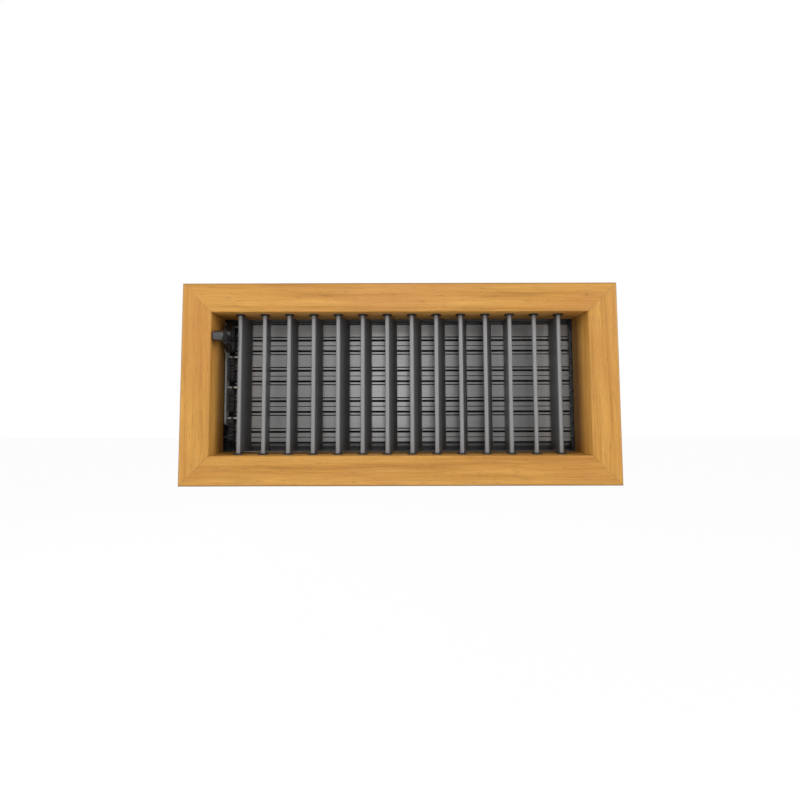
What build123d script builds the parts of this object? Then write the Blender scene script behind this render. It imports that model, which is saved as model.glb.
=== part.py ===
from build123d import *

import os
from math import acos, cos, radians, sin, tan

# Wooden-framed air supply grille: a mitred frame, hand-set upright vanes and an opposed-blade damper.
# Millimetres. X runs across the opening, Z is up, and the front faces -Y.
# The origin is the middle of the opening, in the plane where the flange's back meets the wall.

# Wooden frame
opening_width = 300.0
opening_height = 113.5
face_width = 23.5
flange_thickness = 13.0
collar_depth = 25.0
collar_wall = 10.0
outer_edge_round = 2.0
inner_edge_round = 1.0

# Vanes, each at the angle it was left at (tail towards +X is positive)
vane_angles = [11.5, -1.0, 9.0, 12.5, 20.5, 17.0, 21.5, 24.0, 24.5, 20.0, 23.0, 1.0, 16.0, -1.5]
vane_setback = 13.0
vane_depth = 22.0
nose_radius = 1.7
vane_root = 2.4
vane_tail = 1.0
vane_end_gap = 0.6

# Bushes that take the vane noses
bush_radius = 4.0
bush_sides = 8
bearing_sides = 6
bush_height = 1.2
bush_floor = 0.2
nose_clearance = 0.05
nose_end_play = 0.1

# Damper blades
blade_count = 8
stack_margin = 7.5
stack_rise = 1.4
blade_overlap = 2.0
mechanism_gap = 7.5
blade_end_gap = 1.0
pivot_setback = 9.0
boss_width = 7.4
boss_front = 2.6
web_back = 1.2
web_front = 2.7
ridge_front = 2.4
ridge_width = 1.4
groove_width = 1.1
groove_depth = 1.1
boss_slot = 0.8
port_half = 1.25

# Blade pivots, toothed caps and cranks
press_clearance = 0.05
pivot_radius = 1.5
pivot_clearance = 0.05
pivot_plug = 8.0
pivot_proud = 0.4
cap_thickness = 4.5
gear_teeth = 12
pressure_angle = 20.0
addendum = 0.8
dedendum = 1.05
backlash = 0.24
cap_teeth = 5
crank_radius = 6.0
crank_angle = 35.0
crank_boss = 2.0
crank_arm = 1.6
crank_pin_radius = 1.2
crank_pin_front = 3.0
crank_pin_back = 0.6

# Link strip and lever
strip_gap = 0.5
strip_thickness = 1.5
strip_behind_pin = 2.4
strip_before_pin = 5.6
strip_below_pin = 6.0
link_clearance = 0.08
lever_width = 6.5
lever_drop = 17.5
lever_half_height = 14.7
lever_nose_half = 5.0
lever_clearance = 4.0
gusset_depth = 13.0
flag_inset = 11.0
flag_half_height = 12.5
arm_half_height = 2.5
lever_foot = 3.0
peg_drop = 1.0
peg_setback = 5.0
peg_radius = 4.3
peg_length = 9.5
peg_wall_gap = 0.6
peg_flare_radius = 6.5
peg_flare_length = 1.6
peg_end_chamfer = 0.8

# Sheet frame of the damper
sheet = 1.2
bend = 1.0
side_clearance = 2.0
channel_set_out = 0.4
channel_depth = 18.0
front_flange = 7.0
top_lip = 3.0
bottom_lip = 6.0
closer_clearance = 0.3
tab_length = 14.0
screw_radius = 1.4
screw_length = 9.0
screw_head_radius = 2.8
screw_head = 1.8
screw_head_sides = 6
screw_clearance = 0.2
screw_inset = 50.0

# Places worked out from the sizes above
half_width = opening_width / 2
half_height = opening_height / 2
vane_y = vane_setback - flange_thickness
vane_pitch = opening_width / (len(vane_angles) + 1)
vane_places = [vane_pitch * (n + 1) - half_width for n in range(len(vane_angles))]
pivot_y = collar_depth + pivot_setback
blade_pitch = (opening_height - stack_margin) / blade_count
blade_half = (blade_pitch + blade_overlap) / 2
blade_places = [stack_rise + blade_pitch * ((blade_count - 1) / 2 - n) for n in range(blade_count)]
channel_inner = half_height + channel_set_out
side_inner = half_width + side_clearance
blade_start = mechanism_gap - half_width
blade_end = half_width - blade_end_gap
cap_left = blade_start - cap_thickness
strip_right = cap_left - strip_gap
strip_left = strip_right - strip_thickness
plug_width = 2 * (port_half - press_clearance)
pitch_radius = blade_pitch / 2
module = blade_pitch / gear_teeth
base_radius = pitch_radius * cos(radians(pressure_angle))
tip_radius = pitch_radius + addendum * module
root_radius = pitch_radius - dedendum * module
crank_forward = crank_radius * cos(radians(crank_angle))
crank_up = crank_radius * sin(radians(crank_angle))
pin_y = pivot_y - crank_forward
lever_back = pivot_y - crank_radius - crank_boss - lever_clearance
lever_front = lever_back - gusset_depth
flag_front = lever_front + flag_inset
lever_z = half_height - lever_drop
flange_screws = [screw_inset - half_width, half_width - screw_inset]
screw_z = channel_inner + front_flange / 2 + bend / 2

os.makedirs("parts", exist_ok=True)


def save(part, name):
    """Label a finished piece and write it to its own file."""
    part.label = name
    export_step(part, f"parts/{name}.step")


def frame_member(name, outward, along, wall_distance, wall_length, screws=()):
    """One mitred wooden member: an L section run along its wall of the opening, cut at 45 degrees."""
    wall = Vector(*outward) * wall_distance
    section = Plane(origin=wall, x_dir=outward, z_dir=along)
    corner = Vector(*along) * (wall_length / 2)
    with BuildPart() as member:
        with BuildSketch(section) as profile:
            with BuildLine():
                Polyline(
                    (0, -flange_thickness),
                    (face_width, -flange_thickness),
                    (face_width, 0),
                    (collar_wall, 0),
                    (collar_wall, collar_depth),
                    (0, collar_depth),
                    close=True,
                )
            make_face()
            front = profile.vertices().group_by(Axis.Y)[0].sort_by(Axis.X)
            fillet(front[-1], outer_edge_round)
            front = profile.vertices().group_by(Axis.Y)[0].sort_by(Axis.X)
            fillet(front[0], inner_edge_round)
        extrude(amount=wall_length / 2 + face_width, both=True)
        split(bisect_by=Plane(origin=wall + corner, z_dir=Vector(*along) - Vector(*outward)), keep=Keep.BOTTOM)
        split(bisect_by=Plane(origin=wall - corner, z_dir=-Vector(*along) - Vector(*outward)), keep=Keep.BOTTOM)
        for x in screws:
            with BuildSketch(Plane(origin=(x, collar_depth, outward[2] * screw_z), z_dir=(0, -1, 0))):
                RegularPolygon(screw_radius + press_clearance, bearing_sides, major_radius=False)
            extrude(amount=screw_length, mode=Mode.SUBTRACT)
    save(member.part, name)


frame_member("frame_top_rail", (0, 0, 1), (-1, 0, 0), half_height, opening_width, screws=flange_screws)
frame_member("frame_bottom_rail", (0, 0, -1), (1, 0, 0), half_height, opening_width, screws=flange_screws)
frame_member("frame_right_stile", (1, 0, 0), (0, 0, 1), half_width, opening_height)
frame_member("frame_left_stile", (-1, 0, 0), (0, 0, -1), half_width, opening_height)


def vane_bushes(name, side):
    """The row of bushes on one long wall of the opening, side +1 above and -1 below."""
    seats = [Plane(origin=(x, vane_y, side * half_height), z_dir=(0, 0, -side)) for x in vane_places]
    with BuildPart() as bushes:
        with BuildSketch(*seats):
            RegularPolygon(bush_radius, bush_sides)
        extrude(amount=bush_height)
        with BuildSketch(*[seat.offset(bush_floor) for seat in seats]):
            RegularPolygon(nose_radius + nose_clearance, bearing_sides, major_radius=False)
        extrude(amount=bush_height - bush_floor, mode=Mode.SUBTRACT)
    save(bushes.part, name)


vane_bushes("upper_vane_bushes", 1)
vane_bushes("lower_vane_bushes", -1)


def vane(name, x, angle):
    """One vane: a round nose that turns in its bushes, with a tapered plate behind it."""
    tail_way = (sin(radians(angle)), cos(radians(angle)), 0)
    middle = Plane(origin=(x, vane_y, 0), x_dir=tail_way, z_dir=(0, 0, 1))
    plate_half = half_height - bush_height - vane_end_gap
    nose_half = half_height - bush_floor - nose_end_play
    with BuildPart() as blade:
        with BuildSketch(middle):
            Circle(nose_radius)
        extrude(amount=nose_half, both=True)
        with BuildSketch(middle):
            with BuildLine():
                Polyline(
                    (0, -vane_root / 2),
                    (vane_depth, -vane_tail / 2),
                    (vane_depth, vane_tail / 2),
                    (0, vane_root / 2),
                    close=True,
                )
            make_face()
        extrude(amount=plate_half, both=True)
    save(blade.part, name)


for n, (x, angle) in enumerate(zip(vane_places, vane_angles), start=1):
    vane(f"vane_{n:02d}", x, angle)


def blade_plane(x, n):
    """Section plane of blade n at x: its own x is across the blade, its own y points out of the plain face."""
    up = 1 if n % 2 == 0 else -1
    return Plane(origin=(x, pivot_y, blade_places[n]), x_dir=(0, 0, up), z_dir=(1, 0, 0))


def crank_place(n):
    """Where the crank pin of blade n crosses the section: forward of the pivot and above it."""
    return (pin_y, blade_places[n] + crank_up)


def damper_blade(name, n):
    """One blade: a thin web with ridged edges, and a slotted boss on the pivot's side."""
    ridge_in = blade_half - ridge_width
    groove_in = ridge_in - groove_width
    half_boss = boss_width / 2
    with BuildPart() as blade:
        with BuildSketch(blade_plane(blade_start, n)):
            with BuildLine():
                Polyline(
                    (0, web_front),
                    (groove_in, web_front),
                    (groove_in, web_front - groove_depth),
                    (ridge_in, web_front - groove_depth),
                    (ridge_in, ridge_front),
                    (blade_half, ridge_front),
                    (blade_half, web_back),
                    (half_boss, web_back),
                    (half_boss, -boss_front),
                    (0, -boss_front),
                )
                mirror(about=Plane.YZ)
            make_face()
            Rectangle(2 * port_half, 2 * port_half, mode=Mode.SUBTRACT)
            with Locations((0, -boss_front / 2)):
                Rectangle(boss_slot, boss_front, mode=Mode.SUBTRACT)
        extrude(amount=blade_end - blade_start)
    save(blade.part, name)


def right_pivot(name, n):
    """The round pin pressed into a blade's port at the right end, which turns in the damper's right side."""
    with BuildPart() as pivot:
        with BuildSketch(blade_plane(blade_end - pivot_plug, n)):
            Circle(plug_width / 2)
        extrude(amount=pivot_plug + side_inner + sheet + pivot_proud - blade_end)
    save(pivot.part, name)


def involute(angle):
    """Involute function of an angle in radians."""
    return tan(angle) - angle


def tooth_flank(middle, radius, side):
    """Point of a tooth's involute flank at a radius; middle is in degrees, side is +1 or -1."""
    base_half = radians(90 / gear_teeth) - backlash / 2 / pitch_radius + involute(radians(pressure_angle))
    roll = acos(min(1, base_radius / radius))
    turn = radians(middle) + side * (base_half - involute(roll))
    return (radius * cos(turn), radius * sin(turn))


def left_cap(name, n):
    """The toothed cap on the left end of a blade, with its pivot; a plain-faced blade's cap has the crank arm."""
    drives = n % 2 == 0
    section = Plane(origin=(cap_left, pivot_y, blade_places[n]), x_dir=(0, -1, 0), z_dir=(-1, 0, 0))
    tooth_step = 360 / gear_teeth
    first_tooth = -90 - tooth_step if drives else 90 + tooth_step / 2
    way = 1 if drives else -1
    waist = (base_radius + tip_radius) / 2
    with BuildPart() as cap:
        with BuildSketch(section):
            RegularPolygon(root_radius, gear_teeth)
            for k in range(cap_teeth):
                middle = first_tooth + way * k * tooth_step
                foot = [tooth_flank(middle, root_radius - module / 2, side) for side in (-1, 1)]
                neck = [tooth_flank(middle, base_radius, side) for side in (-1, 1)]
                belly = [tooth_flank(middle, waist, side) for side in (-1, 1)]
                tip = [tooth_flank(middle, tip_radius, side) for side in (-1, 1)]
                with BuildLine():
                    Polyline(foot[0], neck[0], belly[0], tip[0], tip[1], belly[1], neck[1], foot[1], close=True)
                make_face()
        extrude(amount=-cap_thickness)
        if drives:
            with BuildSketch(section.offset(-cap_thickness)):
                with Locations((crank_forward, crank_up)):
                    Circle(crank_boss)
            extrude(amount=crank_arm)
            with BuildSketch(section):
                with Locations((crank_forward, crank_up)):
                    RegularPolygon(crank_pin_radius + press_clearance, bearing_sides, major_radius=False)
            extrude(amount=-cap_thickness, mode=Mode.SUBTRACT)
        with BuildSketch(section):
            Circle(pivot_radius)
        extrude(amount=cap_left + side_inner + sheet + pivot_proud)
        with BuildSketch(blade_plane(blade_start, n)):
            Rectangle(plug_width, plug_width)
        extrude(amount=pivot_plug)
    save(cap.part, name)


def crank_pin(name, n):
    """The cross pin that ties a plain-faced blade's crank arm to the link strip."""
    y, z = crank_place(n)
    with BuildPart() as pin:
        with BuildSketch(Plane(origin=(strip_left - crank_pin_back, y, z), z_dir=(1, 0, 0))):
            Circle(crank_pin_radius)
        extrude(amount=blade_start + crank_pin_front - strip_left + crank_pin_back)
    save(pin.part, name)


for n in range(blade_count):
    damper_blade(f"damper_blade_{n + 1}", n)
    left_cap(f"damper_left_cap_{n + 1}", n)
    right_pivot(f"right_pivot_{n + 1}", n)
driving_blades = range(0, blade_count, 2)
for n in driving_blades:
    crank_pin(f"crank_pin_{n + 1}", n)

# Link strip: a flat strip past all the crank pins, with a flag at the top that carries the lever.
strip_low = crank_place(driving_blades[-1])[1] - strip_below_pin
strip_front = pin_y - strip_before_pin
strip_back = pin_y + strip_behind_pin
strip_middle = (strip_front + strip_back) / 2
strip_half = (strip_back - strip_front) / 2
# Sketch x runs back along +Y and sketch y runs up.
side_plane = Plane(origin=(strip_left, 0, 0), x_dir=(0, 1, 0), z_dir=(1, 0, 0))
with BuildPart() as strip:
    with BuildSketch(side_plane):
        with BuildLine():
            Polyline(
                (strip_back, strip_low + strip_half),
                (strip_back, lever_z + lever_half_height),
                (strip_front, lever_z + lever_half_height),
                (flag_front, lever_z + flag_half_height),
                (flag_front, lever_z - flag_half_height + lever_foot),
                (strip_front, lever_z - lever_half_height + lever_foot),
                (strip_front, strip_low + strip_half),
            )
            ThreePointArc(
                (strip_front, strip_low + strip_half),
                (strip_middle, strip_low),
                (strip_back, strip_low + strip_half),
            )
        make_face()
        with Locations(*[crank_place(n) for n in driving_blades]):
            RegularPolygon(crank_pin_radius + link_clearance, bearing_sides, major_radius=False, mode=Mode.SUBTRACT)
    extrude(amount=strip_thickness)
save(strip.part, "damper_link_strip")

# Lever: a gusset moulded on the strip's flag, with an arm that carries a round finger peg across its front end.
lever_right = strip_right + lever_width
peg_y = peg_setback - flange_thickness
peg_z = lever_z - peg_drop
peg_left = peg_wall_gap - half_width
peg_right = peg_left + peg_length
lever_plane = Plane(origin=(strip_right, 0, 0), x_dir=(0, 1, 0), z_dir=(1, 0, 0))
with BuildPart() as lever:
    with BuildSketch(lever_plane):
        with BuildLine():
            Polyline(
                (lever_back, lever_z + lever_half_height),
                (lever_back, lever_z - lever_half_height + lever_foot),
                (lever_front, lever_z - lever_nose_half),
                (lever_front, lever_z + lever_nose_half),
                close=True,
            )
        make_face()
        with Locations(((peg_y + lever_front) / 2, peg_z)):
            Rectangle(lever_front - peg_y, 2 * arm_half_height)
    extrude(amount=lever_width)
    with BuildSketch(Plane(origin=(peg_left, peg_y, peg_z), z_dir=(1, 0, 0))):
        Circle(peg_radius)
    extrude(amount=peg_length)
    with Locations(Plane(origin=(peg_right, peg_y, peg_z), z_dir=(-1, 0, 0))):
        Cone(peg_flare_radius, peg_radius, peg_flare_length, align=(Align.CENTER, Align.CENTER, Align.MIN))
    chamfer(lever.faces().sort_by(Axis.X)[0].edges(), peg_end_chamfer)
save(lever.part, "damper_lever")


def damper_channel(name, side, rear_lip):
    """A long side of the damper's sheet frame: flange on the wooden collar, web, and a stiffening lip."""
    section = Plane(origin=(-side_inner, 0, 0), x_dir=(0, 1, 0), z_dir=(1, 0, 0))
    seats = [Plane(origin=(x, collar_depth, side * screw_z), z_dir=(0, 1, 0)) for x in flange_screws]
    back = collar_depth + channel_depth
    with BuildPart() as channel:
        with BuildSketch(section):
            with BuildLine():
                FilletPolyline(
                    (collar_depth, side * (channel_inner + front_flange)),
                    (collar_depth, side * channel_inner),
                    (back, side * channel_inner),
                    (back, side * (channel_inner - rear_lip)),
                    radius=bend,
                )
                offset(amount=sheet, side=Side.LEFT if side > 0 else Side.RIGHT)
            make_face()
        extrude(amount=2 * side_inner)
        with BuildSketch(*seats):
            RegularPolygon(screw_radius + screw_clearance, bearing_sides, major_radius=False)
        extrude(amount=sheet, mode=Mode.SUBTRACT)
    save(channel.part, name)


damper_channel("damper_top_channel", 1, top_lip)
damper_channel("damper_bottom_channel", -1, bottom_lip)


def damper_side(name, side, hole_radius):
    """A short side of the damper's sheet frame, with the blades' pivot holes and a tab over each channel."""
    plate = Plane(origin=(side * side_inner, 0, 0), x_dir=(0, 1, 0), z_dir=(side, 0, 0))
    way = plate.y_dir.Z
    tab_start = collar_depth + 2 * sheet + bend
    tab_end = collar_depth + channel_depth - bend
    top = channel_inner + sheet
    with BuildPart() as cheek:
        with BuildSketch(plate):
            with Locations((collar_depth + channel_depth / 2, 0)):
                Rectangle(channel_depth, 2 * top)
            with Locations(*[(pivot_y, way * z) for z in blade_places]):
                RegularPolygon(hole_radius, bearing_sides, major_radius=False, mode=Mode.SUBTRACT)
        extrude(amount=sheet)
        tab_middle = side_inner + sheet - (tab_length + sheet) / 2
        for end in (1, -1):
            with Locations((side * tab_middle, (tab_start + tab_end) / 2, end * (top + sheet / 2))):
                Box(tab_length + sheet, tab_end - tab_start, sheet)
    save(cheek.part, name)


def closing_strip(name, side, edge):
    """The flat strip behind the blades' ends, welded to the inside of a short side and to the channels' lips."""
    wall = side * side_inner
    with BuildPart() as closer:
        with Locations(((wall + edge) / 2, collar_depth + channel_depth - sheet / 2, 0)):
            Box(abs(wall - edge), sheet, 2 * (channel_inner - bend))
    save(closer.part, name)


damper_side("damper_left_side", -1, pivot_radius + pivot_clearance)
damper_side("damper_right_side", 1, plug_width / 2 + pivot_clearance)
closing_strip("damper_left_strip", -1, blade_start - closer_clearance)
closing_strip("damper_right_strip", 1, blade_end + closer_clearance)

# Screws through the channels' flanges into the back of the wooden collar.
screw_seats = [
    Plane(origin=(x, collar_depth + sheet, side * screw_z), z_dir=(0, 1, 0))
    for side in (1, -1)
    for x in flange_screws
]
with BuildPart() as screws:
    with BuildSketch(*screw_seats):
        RegularPolygon(screw_head_radius, screw_head_sides)
    extrude(amount=screw_head)
    with BuildSketch(*screw_seats):
        Circle(screw_radius)
    extrude(amount=-(screw_length + sheet - press_clearance))
save(screws.part, "damper_screws")
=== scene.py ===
"""Studio scene of a wooden-framed air supply grille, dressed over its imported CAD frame."""

import logging
import math
from dataclasses import dataclass
from enum import Enum
from typing import Any, ClassVar, Sequence, Union

import bpy
from mathutils import Matrix


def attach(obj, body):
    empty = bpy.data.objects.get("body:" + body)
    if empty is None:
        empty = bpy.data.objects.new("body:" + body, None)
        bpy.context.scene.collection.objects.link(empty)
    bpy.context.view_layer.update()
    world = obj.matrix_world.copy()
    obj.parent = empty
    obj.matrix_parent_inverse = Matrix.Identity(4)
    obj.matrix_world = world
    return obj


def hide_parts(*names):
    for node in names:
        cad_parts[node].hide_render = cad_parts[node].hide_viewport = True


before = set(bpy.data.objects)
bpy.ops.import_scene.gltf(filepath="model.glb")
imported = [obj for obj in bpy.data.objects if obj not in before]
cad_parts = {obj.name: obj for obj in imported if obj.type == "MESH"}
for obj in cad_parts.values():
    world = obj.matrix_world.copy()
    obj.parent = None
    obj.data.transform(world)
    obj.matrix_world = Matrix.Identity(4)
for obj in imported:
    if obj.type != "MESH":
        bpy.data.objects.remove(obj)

LOG = logging.getLogger("vent_grille")
Material = bpy.types.Material
Node = bpy.types.Node
NodeTree = bpy.types.NodeTree
Socket = bpy.types.NodeSocket
Colour = tuple[float, float, float]
Point = tuple[float, float, float]
Range = tuple[float, float]
Input = Union[float, Sequence[float], Socket]

# Half the width and height of the frame's opening, in metres like all lengths here.
HALF_WIDTH: float = 0.150
HALF_HEIGHT: float = 0.05675
# Ranges that most values of a noise lie in: the full one, and a narrower one for more contrast.
NOISE_RANGE: Range = (0.25, 0.75)
GRAIN_RANGE: Range = (0.30, 0.70)
# What a range becomes where a mask goes up along it, and where it goes down.
RISE: Range = (0.0, 1.0)
FADE: Range = (1.0, 0.0)


class GrainRun(Enum):
    """Which way the grain of a member runs, as the order of its axes: along, then across twice."""

    RAIL = ("X", "Y", "Z")
    STILE = ("Z", "Y", "X")


class WallSide(Enum):
    """The long wall of the opening that a row of bushes sits on."""

    UPPER = 1
    LOWER = -1


class Graph:
    """A node tree with short calls for adding nodes and joining them."""

    def __init__(self, tree: NodeTree) -> None:
        """Keep the tree that the nodes go into.

        Args:
            tree: The shader or geometry tree to fill.
        """
        self.tree = tree

    def node(
        self, kind: str, inputs: dict[Union[str, int], Any] | None = None, **settings: Any
    ) -> Node:
        """Add one node.

        Args:
            kind: The node's Blender type name.
            inputs: Socket name or number to a constant or to the socket that feeds it.
            **settings: The node's own properties.

        Returns:
            The new node.
        """
        made = self.tree.nodes.new(kind)
        for name, value in settings.items():
            setattr(made, name, value)
        for key, value in (inputs or {}).items():
            if isinstance(value, Socket):
                self.tree.links.new(value, made.inputs[key])
            else:
                made.inputs[key].default_value = value
        return made

    def math(self, operation: str, *values: Input) -> Socket:
        """Add a math node.

        Args:
            operation: The operation's Blender name.
            *values: Its inputs in order, constants or sockets.

        Returns:
            The result's socket.
        """
        return self.node("ShaderNodeMath", dict(enumerate(values)), operation=operation).outputs[0]

    def times(self, value: Input, factor: Input) -> Socket:
        """Multiply two values."""
        return self.math("MULTIPLY", value, factor)

    def minus(self, value: Input, taken: Input) -> Socket:
        """Take one value from another."""
        return self.math("SUBTRACT", value, taken)

    def mix(self, factor: Input, first: Input, second: Input, blend: str = "MIX") -> Socket:
        """Mix two colours.

        Args:
            factor: Share of the second colour.
            first: First colour.
            second: Second colour.
            blend: The blend's Blender name.

        Returns:
            The mixed colour's socket.
        """
        inputs = {0: factor, 6: first, 7: second}
        return self.node("ShaderNodeMix", inputs, data_type="RGBA", blend_type=blend).outputs[2]

    def tint(self, share: Input, under: Input, colour: Colour) -> Socket:
        """Lay a plain colour over another by a share."""
        return self.mix(share, under, (*colour, 1.0))

    def shade(self, colour: Input, factor: Socket) -> Socket:
        """Multiply a colour by a value."""
        return self.mix(1.0, colour, factor, "MULTIPLY")

    def span(self, value: Input, source: Range, target: Range = RISE) -> Socket:
        """Map a value from one range to another, held at the ends.

        Args:
            value: The value to map.
            source: Where the first range starts and ends.
            target: What these two become.

        Returns:
            The mapped value's socket.
        """
        inputs = {
            "Value": value, "From Min": source[0], "From Max": source[1],
            "To Min": target[0], "To Max": target[1],
        }
        return self.node("ShaderNodeMapRange", inputs).outputs[0]

    def vector(self, operation: str, first: Input, second: Input) -> bpy.types.bpy_prop_collection:
        """Add a vector math node and give its outputs."""
        return self.node("ShaderNodeVectorMath", {0: first, 1: second}, operation=operation).outputs

    def axes(self, vector: Socket) -> bpy.types.bpy_prop_collection:
        """Part a vector into its X, Y and Z."""
        return self.node("ShaderNodeSeparateXYZ", {0: vector}).outputs

    def noise(self, place: Input, scale: Point, detail: float = 3.0, rough: float = 0.55) -> Socket:
        """Noise with its own scale along each axis.

        Args:
            place: Coordinates in metres.
            scale: Cycles a metre along each axis.
            detail: Octaves of the noise.
            rough: How strong each octave is, as a share of the one before.

        Returns:
            The noise value's socket.
        """
        spread = self.vector("MULTIPLY", place, scale)[0]
        inputs = {"Vector": spread, "Scale": 1.0, "Detail": detail, "Roughness": rough}
        return self.node("ShaderNodeTexNoise", inputs).outputs["Fac"]


class EffectGroup:
    """A shader node group that puts out masks and values for several finishes."""

    def __init__(self, name: str, inputs: Sequence[str], outputs: Sequence[str]) -> None:
        """Make the empty group.

        Args:
            name: The group's name.
            inputs: Names of its inputs; Place is a vector and the others are numbers.
            outputs: Names of the numbers that it puts out.
        """
        self.tree = bpy.data.node_groups.new(name, "ShaderNodeTree")
        for item in inputs:
            kind = "NodeSocketVector" if item == "Place" else "NodeSocketFloat"
            self.tree.interface.new_socket(item, in_out="INPUT", socket_type=kind)
        for item in outputs:
            self.tree.interface.new_socket(item, in_out="OUTPUT", socket_type="NodeSocketFloat")
        self.graph = Graph(self.tree)
        self.entry = self.graph.node("NodeGroupInput").outputs
        self.exit = self.graph.node("NodeGroupOutput").inputs

    def put(self, name: str, socket: Socket) -> None:
        """Join a socket to the output of that name."""
        self.tree.links.new(socket, self.exit[name])

    def use(self, graph: Graph, inputs: dict[str, Any]) -> bpy.types.bpy_prop_collection:
        """Place the group in a material and give its outputs."""
        return graph.node("ShaderNodeGroup", inputs, node_tree=self.tree).outputs


class WoodGrain(EffectGroup):
    """Teak grain along the first axis: tone bands, fine fibres, short pores and broad patches."""

    SWAY_SCALE: Point = (9.0, 30.0, 30.0)
    SWAY_ACROSS: float = 0.004
    SWAY_THROUGH: float = 0.006
    TONE_SCALE: Point = (5.0, 170.0, 170.0)
    FIBRE_SCALE: Point = (26.0, 1500.0, 1500.0)
    PORE_SCALE: Point = (130.0, 1900.0, 1900.0)
    PORE_RANGE: Range = (0.63, 0.72)
    PATCH_SCALE: Point = (11.0, 34.0, 34.0)

    def __init__(self) -> None:
        """Build the group."""
        super().__init__("teak grain", ["Place"], ["Tone", "Fibre", "Pore", "Patch"])
        g = self.graph
        place = self.entry["Place"]
        sway = g.noise(place, self.SWAY_SCALE, detail=1.0)
        shift = {"Y": g.times(sway, self.SWAY_ACROSS), "Z": g.times(sway, self.SWAY_THROUGH)}
        bend = g.node("ShaderNodeCombineXYZ", shift).outputs[0]
        bent = g.vector("ADD", place, bend)[0]
        self.put("Tone", g.noise(bent, self.TONE_SCALE, detail=4.0))
        self.put("Fibre", g.noise(bent, self.FIBRE_SCALE, detail=3.0))
        self.put("Pore", g.span(g.noise(bent, self.PORE_SCALE, detail=1.0), self.PORE_RANGE))
        self.put("Patch", g.noise(bent, self.PATCH_SCALE, detail=2.0))


class FrameLines(EffectGroup):
    """The thin glue line of the mitres, and painted shade on the arris round the front."""

    SEAM_RANGE: Range = (0.00008, 0.00045)
    ARRIS_INSET: Range = (0.0003, 0.0013)
    ARRIS_DEPTH: Range = (0.0025, 0.0040)

    def __init__(self) -> None:
        """Build the group."""
        sizes = ["Half Width", "Half Height", "Member Width", "Front"]
        super().__init__("frame lines", ["Place", *sizes], ["Seam", "Arris"])
        g = self.graph
        axes = g.axes(self.entry["Place"])
        beside = g.minus(g.math("ABSOLUTE", axes["X"]), self.entry["Half Width"])
        above = g.minus(g.math("ABSOLUTE", axes["Z"]), self.entry["Half Height"])
        away = g.math("ABSOLUTE", g.minus(beside, above))
        self.put("Seam", g.span(away, self.SEAM_RANGE, FADE))
        # Painted shade: a thin band along the front arris, where the rounded edge turns away from
        # the light.
        inset = g.minus(self.entry["Member Width"], g.math("MAXIMUM", beside, above))
        behind = g.minus(axes["Y"], self.entry["Front"])
        outermost = g.span(inset, self.ARRIS_INSET, FADE)
        foremost = g.span(behind, self.ARRIS_DEPTH, FADE)
        self.put("Arris", g.times(outermost, foremost))


class EdgeWear(EffectGroup):
    """Rubbed edges: where a rounded normal parts from the true one, broken up by noise."""

    SAMPLES: int = 4
    EDGE_RANGE: Range = (0.80, 0.99)
    PATCH_SCALE: Point = (160.0, 160.0, 160.0)
    PATCH_RANGE: Range = (0.42, 0.62)

    def __init__(self) -> None:
        """Build the group."""
        super().__init__("edge wear", ["Place", "Radius", "Evenness"], ["Wear"])
        g = self.graph
        reach = {"Radius": self.entry["Radius"]}
        rounded = g.node("ShaderNodeBevel", reach, samples=self.SAMPLES).outputs[0]
        true = g.node("ShaderNodeNewGeometry").outputs["Normal"]
        facing = g.vector("DOT_PRODUCT", rounded, true)["Value"]
        edge = g.span(facing, self.EDGE_RANGE, FADE)
        patches = g.span(g.noise(self.entry["Place"], self.PATCH_SCALE), self.PATCH_RANGE)
        self.put("Wear", g.times(edge, g.math("MAXIMUM", patches, self.entry["Evenness"])))


class LedgeDust(EffectGroup):
    """Fine dust on what faces up."""

    UPWARD_RANGE: Range = (0.5, 0.95)
    PATCH_SCALE: Point = (90.0, 90.0, 90.0)
    PATCH_RANGE: Range = (0.40, 0.70)

    def __init__(self) -> None:
        """Build the group."""
        super().__init__("ledge dust", ["Place"], ["Dust"])
        g = self.graph
        upward = g.axes(g.node("ShaderNodeNewGeometry").outputs["Normal"])["Z"]
        drift = g.noise(self.entry["Place"], self.PATCH_SCALE, detail=4.0)
        patches = g.span(drift, self.PATCH_RANGE)
        self.put("Dust", g.times(g.span(upward, self.UPWARD_RANGE), patches))


class Crevice(EffectGroup):
    """Painted shade in grooves and gaps, where little of the room is in reach, found by ambient
    occlusion.
    """

    SAMPLES: int = 8
    OPEN_RANGE: Range = (0.72, 0.98)

    def __init__(self) -> None:
        """Build the group."""
        super().__init__("crevice grime", ["Reach"], ["Grime"])
        g = self.graph
        reach = {"Distance": self.entry["Reach"]}
        openness = g.node("ShaderNodeAmbientOcclusion", reach, samples=self.SAMPLES).outputs["AO"]
        self.put("Grime", g.span(openness, self.OPEN_RANGE, FADE))


@dataclass(frozen=True)
class Effects:
    """The shared shader groups."""

    grain: WoodGrain
    lines: FrameLines
    wear: EdgeWear
    dust: LedgeDust
    crevice: Crevice


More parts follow.
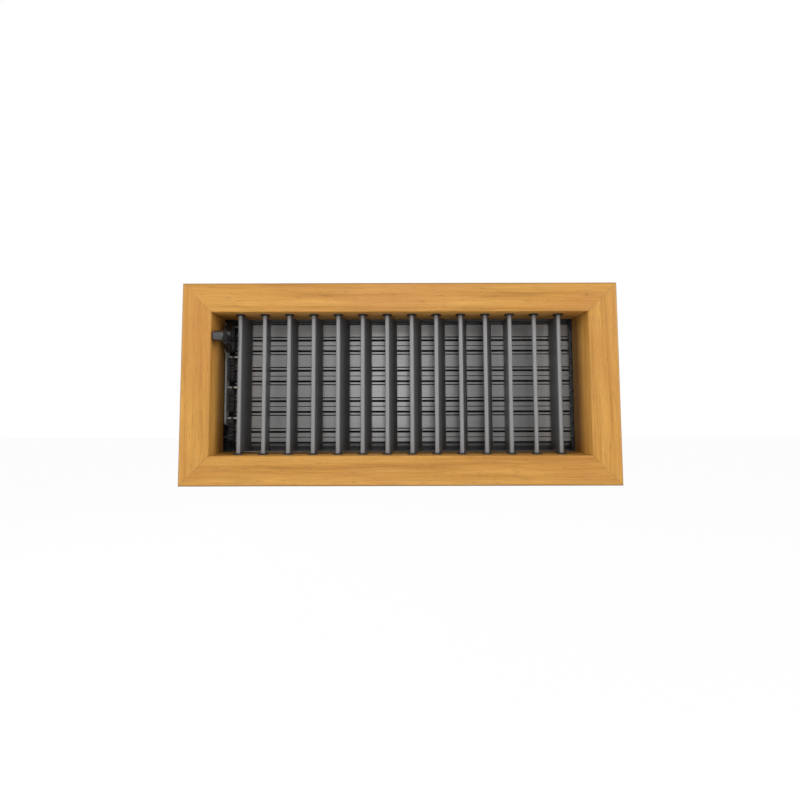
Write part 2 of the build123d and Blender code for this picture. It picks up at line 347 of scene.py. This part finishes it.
@dataclass(frozen=True)
class Bench:
    """A material in the making: its graph, its shader, its coordinates and the shared groups."""

    graph: Graph
    shader: Node
    place: Socket
    effects: Effects

    def set(self, socket: str, value: float) -> None:
        """Give one of the shader's inputs a plain value."""
        self.shader.inputs[socket].default_value = value

    def worn(self, reach: float, share: float, evenness: float = 0.0) -> Socket:
        """Find the rubbed edges.

        Args:
            reach: How far from the edge the rubbing goes, in metres.
            share: How much of the rubbed colour shows.
            evenness: How even the rubbing is, from nought for broken to one for unbroken.

        Returns:
            The mask's socket.
        """
        inputs = {"Place": self.place, "Radius": reach, "Evenness": evenness}
        return self.graph.times(self.effects.wear.use(self.graph, inputs)["Wear"], share)

    def dusted(self, under: Socket, colour: Colour, share: float) -> Socket:
        """Lay dust on what faces up.

        Args:
            under: The colour below the dust.
            colour: The dust's colour.
            share: How much of the dust shows.

        Returns:
            The dusted colour's socket.
        """
        dust = self.effects.dust.use(self.graph, {"Place": self.place})["Dust"]
        return self.graph.tint(self.graph.times(dust, share), under, colour)

    def feed(self, colour: Socket, rough: Socket, height: Socket, bump: Range) -> None:
        """Join the finished colour, roughness and bump to the shader.

        Args:
            colour: The colour's socket.
            rough: The roughness's socket.
            height: The socket of the bump's height.
            bump: Share of the bump, and its height in metres.
        """
        inputs = {"Height": height, "Strength": bump[0], "Distance": bump[1]}
        normal = self.graph.node("ShaderNodeBump", inputs).outputs[0]
        fed = {"Base Color": colour, "Roughness": rough, "Normal": normal}
        for name, socket in fed.items():
            self.graph.tree.links.new(socket, self.shader.inputs[name])


@dataclass(frozen=True)
class Finish:
    """A finish, with a dress method of its own for each kind."""

    name: str

    def material(self, effects: Effects) -> Material:
        """Make the material.

        Args:
            effects: The shared shader groups.

        Returns:
            The finished material.
        """
        made = bpy.data.materials.new(self.name)
        made.use_nodes = True
        graph = Graph(made.node_tree)
        shader = made.node_tree.nodes["Principled BSDF"]
        place = graph.node("ShaderNodeTexCoord").outputs["Object"]
        self.dress(Bench(graph, shader, place, effects))
        return made

    def dress(self, bench: Bench) -> None:
        """Fill the material; each kind of finish has its own way."""
        raise NotImplementedError

    @staticmethod
    def around(value: float, spread: Range) -> Range:
        """Spread a value into a range round it."""
        return value + spread[0], value + spread[1]


@dataclass(frozen=True)
class OiledTeak(Finish):
    """Oiled teak with its grain along the member and a glue line at the mitres."""

    run: GrainRun
    pale: Colour = (0.535, 0.277, 0.060)
    middle: Colour = (0.472, 0.230, 0.043)
    deep: Colour = (0.375, 0.168, 0.026)
    patch: Colour = (0.400, 0.168, 0.034)
    pore: Colour = (0.12, 0.045, 0.012)
    glue: Colour = (0.09, 0.035, 0.010)
    rubbed: Colour = (0.115, 0.073, 0.035)
    specular: float = 0.3
    half_width: float = HALF_WIDTH
    half_height: float = HALF_HEIGHT
    member_width: float = 0.0235
    front: float = -0.013

    BOARD_SHIFT: ClassVar[float] = 3.0
    DEEP_STOP: ClassVar[float] = 0.30
    MIDDLE_STOP: ClassVar[float] = 0.45
    PALE_STOP: ClassVar[float] = 0.68
    FIBRE_SHADE: ClassVar[Range] = (0.80, 1.08)
    FIBRE_ROUGHNESS: ClassVar[Range] = (0.54, 0.44)
    PATCH_RANGE: ClassVar[Range] = (0.55, 0.35)
    PATCH_SHARE: ClassVar[Range] = (0.0, 0.55)
    PORE_SHARE: ClassVar[float] = 0.40
    PORE_DEPTH: ClassVar[float] = 0.8
    SEAM_SHARE: ClassVar[float] = 0.10
    SEAM_DEPTH: ClassVar[float] = 0.2
    RUB_REACH: ClassVar[float] = 0.0014
    RUB_SHARE: ClassVar[float] = 0.5
    ARRIS_SHADE_SHARE: ClassVar[float] = 0.85
    BUMP: ClassVar[Range] = (0.35, 0.00012)

    def dress(self, bench: Bench) -> None:
        """Lay the grain, the pores, the seam and painted shade on the front arris.

        Args:
            bench: The material in the making.
        """
        bench.set("Specular IOR Level", self.specular)
        g = bench.graph
        grain = bench.effects.grain.use(g, {"Place": self.along_member(bench)})
        fibres = g.span(grain["Fibre"], GRAIN_RANGE, self.FIBRE_SHADE)
        toned = g.shade(self.tones(g, grain["Tone"]), fibres)
        patches = g.span(grain["Patch"], self.PATCH_RANGE, self.PATCH_SHARE)
        patched = g.tint(patches, toned, self.patch)
        pored = g.tint(g.times(grain["Pore"], self.PORE_SHARE), patched, self.pore)
        sizes = {
            "Place": bench.place, "Half Width": self.half_width, "Half Height": self.half_height,
            "Member Width": self.member_width, "Front": self.front,
        }
        lines = bench.effects.lines.use(g, sizes)
        seamed = g.tint(g.times(lines["Seam"], self.SEAM_SHARE), pored, self.glue)
        # The rubbed colour serves the worn edges and, as painted shade, the arris round the front.
        worn = bench.worn(self.RUB_REACH, self.RUB_SHARE)
        edge = g.math("MAXIMUM", worn, g.times(lines["Arris"], self.ARRIS_SHADE_SHARE))
        final = g.tint(edge, seamed, self.rubbed)
        rough = g.span(grain["Fibre"], GRAIN_RANGE, self.FIBRE_ROUGHNESS)
        height = g.minus(grain["Fibre"], g.times(grain["Pore"], self.PORE_DEPTH))
        height = g.minus(height, g.times(lines["Seam"], self.SEAM_DEPTH))
        bench.feed(final, rough, height, self.BUMP)

    def along_member(self, bench: Bench) -> Socket:
        """Turn the coordinates along the member, and shift each member to a board of its own.

        Args:
            bench: The material in the making.

        Returns:
            The turned coordinates' socket.
        """
        g = bench.graph
        axes = g.axes(bench.place)
        board = g.times(g.node("ShaderNodeObjectInfo").outputs["Random"], self.BOARD_SHIFT)
        along, across, through = self.run.value
        turned = {"X": axes[along], "Y": g.math("ADD", axes[across], board), "Z": axes[through]}
        return g.node("ShaderNodeCombineXYZ", turned).outputs[0]

    def tones(self, graph: Graph, tone: Socket) -> Socket:
        """Colour the bands of the grain from deep to pale.

        Args:
            graph: The material's graph.
            tone: The grain's tone.

        Returns:
            The colour's socket.
        """
        made = graph.node("ShaderNodeValToRGB", {"Fac": tone})
        stops = made.color_ramp.elements
        stops[0].position, stops[0].color = self.DEEP_STOP, (*self.deep, 1.0)
        stops[1].position, stops[1].color = self.PALE_STOP, (*self.pale, 1.0)
        stops.new(self.MIDDLE_STOP).color = (*self.middle, 1.0)
        return made.outputs["Color"]


@dataclass(frozen=True)
class SatinPaint(Finish):
    """Satin paint or powder coat on metal, with the drawn lines of the metal below it."""

    colour: Colour
    worn: Colour = (0.55, 0.55, 0.55)
    roughness: float = 0.40
    specular: float = 0.5
    lines: Point = (12.0, 900.0, 900.0)
    dust: float = 0.10
    wear: float = 0.45
    evenness: float = 0.0
    grime: float = 0.0
    nose_front: float = 0.0
    nose_end: float = 0.0
    nose_highlight: float = 1.0
    behind_nose_shade: float = 1.0

    LINE_SHADE: ClassVar[Range] = (0.90, 1.08)
    LINE_DEPTH: ClassVar[float] = 0.6
    PEEL_SCALE: ClassVar[Point] = (1400.0, 1400.0, 1400.0)
    PEEL_DEPTH: ClassVar[float] = 0.4
    ROUGH_SPREAD: ClassVar[Range] = (-0.06, 0.08)
    NOSE_FADE: ClassVar[Range] = (-0.0003, 0.0006)
    HIGHLIGHT_FADE: ClassVar[Range] = (0.0, 0.0012)
    RUB_REACH: ClassVar[float] = 0.0005
    PAINTED_SHADE: ClassVar[Colour] = (0.004, 0.004, 0.004)
    PAINTED_SHADE_REACH: ClassVar[float] = 0.006
    DUST: ClassVar[Colour] = (0.42, 0.39, 0.34)
    BUMP: ClassVar[Range] = (0.22, 0.00005)

    def dress(self, bench: Bench) -> None:
        """Lay the paint, its lines, the rubbed edges, painted shade in the crevices and the dust.

        Args:
            bench: The material in the making.
        """
        bench.set("Specular IOR Level", self.specular)
        g = bench.graph
        drawn = g.noise(bench.place, self.lines)
        peel = g.noise(bench.place, self.PEEL_SCALE, detail=2.0)
        rough = g.span(peel, NOISE_RANGE, self.around(self.roughness, self.ROUGH_SPREAD))
        painted = g.shade((*self.colour, 1.0), g.span(drawn, NOISE_RANGE, self.LINE_SHADE))
        # Painted highlight on the front of each vane's nose, and painted shade on the plate behind
        # it.
        if self.behind_nose_shade < 1.0:
            painted = g.shade(painted, self.nose_highlight_and_shade(bench))
        worn = bench.worn(self.RUB_REACH, self.wear, self.evenness)
        rubbed = g.tint(worn, painted, self.worn)
        # Painted shade: grooves and gaps go nearly black by ambient occlusion, and turn matt so no
        # highlight shows in them.
        if self.grime > 0.0:
            crevice = bench.effects.crevice.use(g, {"Reach": self.PAINTED_SHADE_REACH})
            grime = g.times(crevice["Grime"], self.grime)
            rubbed = g.tint(grime, rubbed, self.PAINTED_SHADE)
            rough = g.math("MAXIMUM", rough, grime)
        final = bench.dusted(rubbed, self.DUST, self.dust)
        height = g.math("ADD", g.times(drawn, self.LINE_DEPTH), g.times(peel, self.PEEL_DEPTH))
        bench.feed(final, rough, height, self.BUMP)

    def nose_highlight_and_shade(self, bench: Bench) -> Socket:
        """Paint a highlight on the front of a nose and painted shade on what lies behind it.

        Args:
            bench: The material in the making.

        Returns:
            The socket of the value that the paint is multiplied by.
        """
        g = bench.graph
        depth = g.axes(bench.place)["Y"]
        shade_range = self.around(self.nose_end, self.NOSE_FADE)
        tone = g.span(depth, shade_range, (1.0, self.behind_nose_shade))
        highlight_range = self.around(self.nose_front, self.HIGHLIGHT_FADE)
        highlight = g.span(depth, highlight_range, (self.nose_highlight, 1.0))
        return g.times(tone, highlight)


@dataclass(frozen=True)
class MouldedPlastic(Finish):
    """Black moulded plastic with a fine spark-eroded skin."""

    colour: Colour = (0.011, 0.011, 0.012)
    roughness: float = 0.50
    specular: float = 0.3

    SKIN_SCALE: ClassVar[Point] = (2600.0, 2600.0, 2600.0)
    CLOUD_SCALE: ClassVar[Point] = (120.0, 120.0, 120.0)
    CLOUD_SHADE: ClassVar[Range] = (0.80, 1.25)
    ROUGH_SPREAD: ClassVar[Range] = (-0.07, 0.09)
    RUBBED: ClassVar[Colour] = (0.070, 0.070, 0.072)
    RUB_REACH: ClassVar[float] = 0.0006
    RUB_SHARE: ClassVar[float] = 0.5
    DUST: ClassVar[Colour] = (0.40, 0.37, 0.32)
    DUST_SHARE: ClassVar[float] = 0.06
    BUMP: ClassVar[Range] = (0.25, 0.00004)

    def dress(self, bench: Bench) -> None:
        """Lay the skin, the polished edges and the dust.

        Args:
            bench: The material in the making.
        """
        bench.set("Specular IOR Level", self.specular)
        g = bench.graph
        skin = g.noise(bench.place, self.SKIN_SCALE, detail=2.0)
        cloud = g.noise(bench.place, self.CLOUD_SCALE, detail=2.0)
        moulded = g.shade((*self.colour, 1.0), g.span(cloud, GRAIN_RANGE, self.CLOUD_SHADE))
        rubbed = g.tint(bench.worn(self.RUB_REACH, self.RUB_SHARE), moulded, self.RUBBED)
        final = bench.dusted(rubbed, self.DUST, self.DUST_SHARE)
        rough = g.span(skin, NOISE_RANGE, self.around(self.roughness, self.ROUGH_SPREAD))
        bench.feed(final, rough, skin, self.BUMP)


@dataclass(frozen=True)
class BareMetal(Finish):
    """Bare metal with brushed or turned lines and a dull bloom."""

    colour: Colour
    dull: Colour
    roughness: float
    lines: Point

    BLOOM_SCALE: ClassVar[Point] = (140.0, 140.0, 140.0)
    BLOOM_RANGE: ClassVar[Range] = (0.40, 0.70)
    ROUGH_SPREAD: ClassVar[Range] = (-0.08, 0.10)
    RUBBED: ClassVar[Colour] = (0.82, 0.82, 0.83)
    RUB_REACH: ClassVar[float] = 0.0003
    RUB_SHARE: ClassVar[float] = 0.6
    BUMP: ClassVar[Range] = (0.20, 0.00004)

    def dress(self, bench: Bench) -> None:
        """Lay the lines, the bloom and the rubbed edges.

        Args:
            bench: The material in the making.
        """
        bench.set("Metallic", 1.0)
        g = bench.graph
        brushed = g.noise(bench.place, self.lines)
        bloom = g.span(g.noise(bench.place, self.BLOOM_SCALE), self.BLOOM_RANGE)
        bare = g.tint(bloom, (*self.colour, 1.0), self.dull)
        final = g.tint(bench.worn(self.RUB_REACH, self.RUB_SHARE), bare, self.RUBBED)
        rough = g.span(brushed, NOISE_RANGE, self.around(self.roughness, self.ROUGH_SPREAD))
        bench.feed(final, rough, brushed, self.BUMP)


@dataclass
class WoodenFrame:
    """The four mitred members of the wooden frame."""

    rails: tuple[str, ...] = ("frame_top_rail", "frame_bottom_rail")
    stiles: tuple[str, ...] = ("frame_left_stile", "frame_right_stile")

    def dress(self, effects: Effects) -> None:
        """Give each member teak with the grain along it.

        Args:
            effects: The shared shader groups.
        """
        paint_nodes(self.rails, OiledTeak("teak rail", GrainRun.RAIL).material(effects))
        paint_nodes(self.stiles, OiledTeak("teak stile", GrainRun.STILE).material(effects))


@dataclass
class VaneBank:
    """The upright vanes and the round bushes that hold their ends."""

    count: int = 14
    pitch: float = 0.020
    axis_y: float = 0.0
    half_height: float = HALF_HEIGHT
    bush_radius: float = 0.0040
    bush_bore: float = 0.00175
    bush_height: float = 0.0012
    rim_round: float = 0.0003
    hoop_points: int = 40
    rim_points: int = 3

    def dress(self, effects: Effects, plastic: Material) -> list[bpy.types.Object]:
        """Paint the vanes and make both rows of bushes.

        Args:
            effects: The shared shader groups.
            plastic: Material of the bushes.

        Returns:
            The two rows of bushes.
        """
        finish = SatinPaint(
            "vane grey", colour=(0.110, 0.110, 0.112), worn=(0.50, 0.50, 0.50),
            lines=(900.0, 900.0, 10.0), dust=0.04, wear=0.25,
            # Painted highlight on the nose front, painted shade on the plate behind the nose.
            nose_front=-0.0016, nose_end=0.0014, nose_highlight=1.65, behind_nose_shade=0.63,
        )
        names = [f"vane_{n:02d}" for n in range(1, self.count + 1)]
        paint_nodes(names, finish.material(effects))
        tree = self.bush_tree()
        return [self.bush_row(tree, side, plastic) for side in WallSide]

    def bush_tree(self) -> NodeTree:
        """Build the tree of a row of bushes: a rounded ring set at each point of a line.

        Returns:
            The geometry tree, with its sizes as inputs.
        """
        tree = bpy.data.node_groups.new("bush row", "GeometryNodeTree")
        kinds = {
            "Count": "Int", "Start": "Vector", "Pitch": "Float", "Radius": "Float", "Bore": "Float",
            "Height": "Float", "Rim": "Float", "Plastic": "Material",
        }
        for name, kind in kinds.items():
            tree.interface.new_socket(name, in_out="INPUT", socket_type=f"NodeSocket{kind}")
        tree.interface.new_socket("Geometry", in_out="OUTPUT", socket_type="NodeSocketGeometry")
        g = Graph(tree)
        sizes = g.node("NodeGroupInput").outputs
        ring = self.ring(g, sizes)
        step = g.node("ShaderNodeCombineXYZ", {"X": sizes["Pitch"]}).outputs[0]
        line = g.node(
            "GeometryNodeMeshLine",
            {"Count": sizes["Count"], "Start Location": sizes["Start"], "Offset": step},
            mode="OFFSET",
        ).outputs[0]
        row = g.node("GeometryNodeInstanceOnPoints", {"Points": line, "Instance": ring}).outputs[0]
        real = g.node("GeometryNodeRealizeInstances", {0: row}).outputs[0]
        smooth = g.node("GeometryNodeSetShadeSmooth", {"Geometry": real}).outputs[0]
        painted = {"Geometry": smooth, "Material": sizes["Plastic"]}
        done = g.node("GeometryNodeSetMaterial", painted).outputs[0]
        g.node("NodeGroupOutput", {0: done})
        return tree

    def ring(self, graph: Graph, sizes: bpy.types.bpy_prop_collection) -> Socket:
        """Sweep a rounded section round a hoop.

        Args:
            graph: The graph of the row's tree.
            sizes: The tree's inputs.

        Returns:
            The socket of one bush.
        """
        wall = graph.minus(sizes["Radius"], sizes["Bore"])
        middle = graph.times(graph.math("ADD", sizes["Radius"], sizes["Bore"]), 0.5)
        round_path = {"Resolution": self.hoop_points, "Radius": middle}
        hoop = graph.node("GeometryNodeCurvePrimitiveCircle", round_path).outputs[0]
        oblong = {"Width": wall, "Height": sizes["Height"]}
        section = graph.node("GeometryNodeCurvePrimitiveQuadrilateral", oblong).outputs[0]
        rim = {
            "Curve": section, "Count": self.rim_points, "Radius": sizes["Rim"],
            "Limit Radius": True,
        }
        rounded = graph.node("GeometryNodeFilletCurve", rim, mode="POLY").outputs[0]
        swept = {"Curve": hoop, "Profile Curve": rounded}
        return graph.node("GeometryNodeCurveToMesh", swept).outputs[0]

    def bush_row(self, tree: NodeTree, side: WallSide, plastic: Material) -> bpy.types.Object:
        """Make one row of bushes.

        Args:
            tree: The row's geometry tree.
            side: The wall that the row sits on.
            plastic: Material of the bushes.

        Returns:
            The row, riding on the frame.
        """
        name = f"{side.name.lower()}_bushes"
        height = side.value * (self.half_height - self.bush_height / 2)
        start = (-self.pitch * (self.count - 1) / 2, self.axis_y, height)
        values = {
            "Count": self.count, "Start": start, "Pitch": self.pitch,
            "Radius": self.bush_radius, "Bore": self.bush_bore,
            "Height": self.bush_height, "Rim": self.rim_round, "Plastic": plastic,
        }
        row = grown(name, tree, values)
        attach(row, "grille_frame")
        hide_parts(f"{side.name.lower()}_vane_bushes")
        return row


@dataclass
class OpposedDamper:
    """The blades behind the vanes, their linkage and the sheet frame that carries them."""

    blade_count: int = 8

    def dress(self, effects: Effects) -> None:
        """Paint the blades, the caps, the linkage and the sheet frame.

        Args:
            effects: The shared shader groups.
        """
        blades = range(1, self.blade_count + 1)
        drivers = range(1, self.blade_count + 1, 2)
        # The blades' pale, nearly unbroken edge lines are partly rubbed wear and partly a painted
        # highlight along the lips.
        grey = SatinPaint(
            "blade grey", colour=(0.31, 0.312, 0.314), worn=(0.72, 0.72, 0.72), roughness=0.24,
            specular=0.7, wear=0.8, evenness=0.7, grime=1.0,
        )
        paint_nodes([f"damper_blade_{n}" for n in blades], grey.material(effects))
        cap = MouldedPlastic("cap black", (0.030, 0.030, 0.031), roughness=0.42, specular=0.4)
        paint_nodes([f"damper_left_cap_{n}" for n in blades], cap.material(effects))
        glossy = MouldedPlastic("lever black", (0.012, 0.012, 0.013), roughness=0.24, specular=1.0)
        paint_nodes(["damper_lever"], glossy.material(effects))
        sheet = SatinPaint(
            "black sheet", colour=(0.014, 0.014, 0.015), worn=(0.05, 0.05, 0.05), roughness=0.7,
            specular=0.15, dust=0.03,
        )
        sheets = ("left_side", "right_side", "left_strip", "right_strip", "top_channel")
        paint_nodes([f"damper_{name}" for name in sheets], sheet.material(effects))
        # Painted light: the bottom channel is the same black sheet painted a lighter grey as if
        # lit, with the same fine dust as the rest.
        lit_and_dusty = SatinPaint(
            "dusty channel", colour=(0.060, 0.060, 0.062), worn=(0.16, 0.16, 0.16), roughness=0.5,
            specular=0.3, dust=0.03,
        )
        paint_nodes(["damper_bottom_channel"], lit_and_dusty.material(effects))
        strip = SatinPaint(
            "dull strip", colour=(0.26, 0.26, 0.264), lines=(900.0, 900.0, 20.0), dust=0.0,
        )
        paint_nodes(["damper_link_strip"], strip.material(effects))
        steel = BareMetal(
            "plated steel", colour=(0.72, 0.72, 0.72), dull=(0.52, 0.52, 0.52), roughness=0.28,
            lines=(60.0, 1800.0, 1800.0),
        )
        pins = [f"right_pivot_{n}" for n in blades] + [f"crank_pin_{n}" for n in drivers]
        paint_nodes(pins + ["damper_screws"], steel.material(effects))


def paint_nodes(names: Sequence[str], material: Material) -> None:
    """Give CAD nodes their material.

    Args:
        names: Names of the nodes.
        material: The material that they all take.
    """
    for name in names:
        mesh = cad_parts[name].data
        mesh.materials.clear()
        mesh.materials.append(material)


def grown(name: str, tree: NodeTree, values: dict[str, Any]) -> bpy.types.Object:
    """Make a plain mesh from a geometry tree.

    Args:
        name: Name of the new object.
        tree: The geometry tree.
        values: Input name to its value.

    Returns:
        The object with the tree's result as its own mesh.
    """
    made = bpy.data.objects.new(name, bpy.data.meshes.new(f"{name} seed"))
    bpy.context.scene.collection.objects.link(made)
    maker = made.modifiers.new("grow", "NODES")
    maker.node_group = tree
    for item in tree.interface.items_tree:
        if item.in_out == "INPUT":
            maker[item.identifier] = values[item.name]
    ready = made.evaluated_get(bpy.context.evaluated_depsgraph_get())
    mesh = bpy.data.meshes.new_from_object(ready)
    made.modifiers.clear()
    made.data = mesh
    mesh.name = name
    return made


@dataclass(frozen=True)
class SoftLamp:
    """A square area lamp aimed at a point."""

    name: str
    place: Point
    aim: Point
    size: float
    power: float

    def hang(self) -> None:
        """Put the lamp in the scene."""
        lamp = bpy.data.lights.new(self.name, "AREA")
        lamp.size = self.size
        lamp.energy = self.power
        hung = bpy.data.objects.new(self.name, lamp)
        hung.location = self.place
        hung.visible_camera = False
        way = [a - b for a, b in zip(self.aim, self.place)]
        flat = math.hypot(way[0], way[1])
        hung.rotation_euler = (math.atan2(flat, -way[2]), 0.0, math.atan2(-way[0], way[1]))
        bpy.context.scene.collection.objects.link(hung)


@dataclass
class Studio:
    """The floor, the light and the camera."""

    floor_height: float = -0.30
    floor_half: float = 4.0
    floor_colour: Colour = (0.9, 0.9, 0.9)
    floor_glow: float = 0.97
    ambient: float = 0.15
    camera_place: Point = (-0.0133, -0.4220, -0.0164)
    camera_pitch: float = 4.21
    camera_roll: float = -0.14
    lens: float = 23.4
    sensor: float = 36.0
    shift: Range = (0.0210, -0.0429)
    nearest: float = 0.01
    lamps: tuple[SoftLamp, ...] = (
        SoftLamp("key", (0.0, -0.64, 0.27), (0.0, 0.0, -0.01), 0.14, 1.10),
        SoftLamp("front", (0.0, -0.66, 0.0), (0.0, 0.0, 0.0), 0.16, 0.45),
        SoftLamp("left", (-1.12, -0.50, 0.44), (0.0, 0.0, 0.0), 1.0, 15.0),
        SoftLamp("right", (1.12, -0.50, 0.44), (0.0, 0.0, 0.0), 1.0, 15.0),
        SoftLamp("back", (-0.55, 0.80, 0.55), (0.0, 0.0, 0.0), 0.6, 5.5),
    )

    def build(self) -> None:
        """Set up the whole studio."""
        bpy.context.scene.view_settings.view_transform = "Standard"
        self.lay_floor()
        self.light_world()
        for lamp in self.lamps:
            lamp.hang()
        self.set_camera()

    @staticmethod
    def seen_directly(graph: Graph) -> Socket:
        """Tell direct sight from lighting.

        Args:
            graph: The graph of the floor's or the world's material.

        Returns:
            A socket of one where the camera, a reflection or a clear piece sees it, else nought.
        """
        path = graph.node("ShaderNodeLightPath").outputs
        seen = graph.math("MAXIMUM", path["Is Camera Ray"], path["Is Glossy Ray"])
        return graph.math("MAXIMUM", seen, path["Is Transmission Ray"])

    def lay_floor(self) -> None:
        """Lay a white floor that keeps a soft shadow."""
        half = self.floor_half
        mesh = bpy.data.meshes.new("floor")
        corners = [(-half, -half, 0.0), (half, -half, 0.0), (half, half, 0.0), (-half, half, 0.0)]
        mesh.from_pydata(corners, [], [(0, 1, 2, 3)])
        white = bpy.data.materials.new("floor white")
        white.use_nodes = True
        white.node_tree.nodes.clear()
        g = Graph(white.node_tree)
        matt = g.node("ShaderNodeBsdfDiffuse", {"Color": (*self.floor_colour, 1.0)}).outputs[0]
        glow = g.node("ShaderNodeEmission", {"Strength": 1.0}).outputs[0]
        share = g.times(self.seen_directly(g), self.floor_glow)
        both = g.node("ShaderNodeMixShader", {0: share, 1: matt, 2: glow}).outputs[0]
        g.node("ShaderNodeOutputMaterial", {"Surface": both})
        mesh.materials.append(white)
        floor = bpy.data.objects.new("floor", mesh)
        floor.location = (0.0, 0.0, self.floor_height)
        bpy.context.scene.collection.objects.link(floor)

    def light_world(self) -> None:
        """Make the world white to look at and dimmer as a light."""
        world = bpy.data.worlds.new("studio")
        world.use_nodes = True
        world.node_tree.nodes.clear()
        g = Graph(world.node_tree)
        white = (1.0, 1.0, 1.0, 1.0)
        around, behind = (
            g.node("ShaderNodeBackground", {"Color": white, "Strength": strength}).outputs[0]
            for strength in (self.ambient, 1.0)
        )
        share = self.seen_directly(g)
        both = g.node("ShaderNodeMixShader", {0: share, 1: around, 2: behind}).outputs[0]
        g.node("ShaderNodeOutputWorld", {"Surface": both})
        bpy.context.scene.world = world

    def set_camera(self) -> None:
        """Set the camera at the photograph's viewing angle."""
        lens = bpy.data.cameras.new("camera")
        lens.lens = self.lens
        lens.sensor_width = self.sensor
        lens.shift_x, lens.shift_y = self.shift
        lens.clip_start = self.nearest
        camera = bpy.data.objects.new("camera", lens)
        camera.location = self.camera_place
        tilt = Matrix.Rotation(math.radians(90.0 + self.camera_pitch), 4, "X")
        roll = Matrix.Rotation(math.radians(self.camera_roll), 4, "Z")
        camera.rotation_euler = (tilt @ roll).to_euler()
        bpy.context.scene.collection.objects.link(camera)
        bpy.context.scene.camera = camera


def main() -> None:
    """Dress the grille and set up the studio."""
    logging.basicConfig(level=logging.INFO, format="%(name)s: %(message)s")
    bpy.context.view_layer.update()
    effects = Effects(WoodGrain(), FrameLines(), EdgeWear(), LedgeDust(), Crevice())
    plastic = MouldedPlastic("black plastic").material(effects)
    WoodenFrame().dress(effects)
    for row in VaneBank().dress(effects, plastic):
        LOG.info("%s: %d faces", row.name, len(row.data.polygons))
    OpposedDamper().dress(effects)
    LOG.info("%d CAD nodes dressed", len(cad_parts))
    Studio().build()


if __name__ == "__main__":
    main()
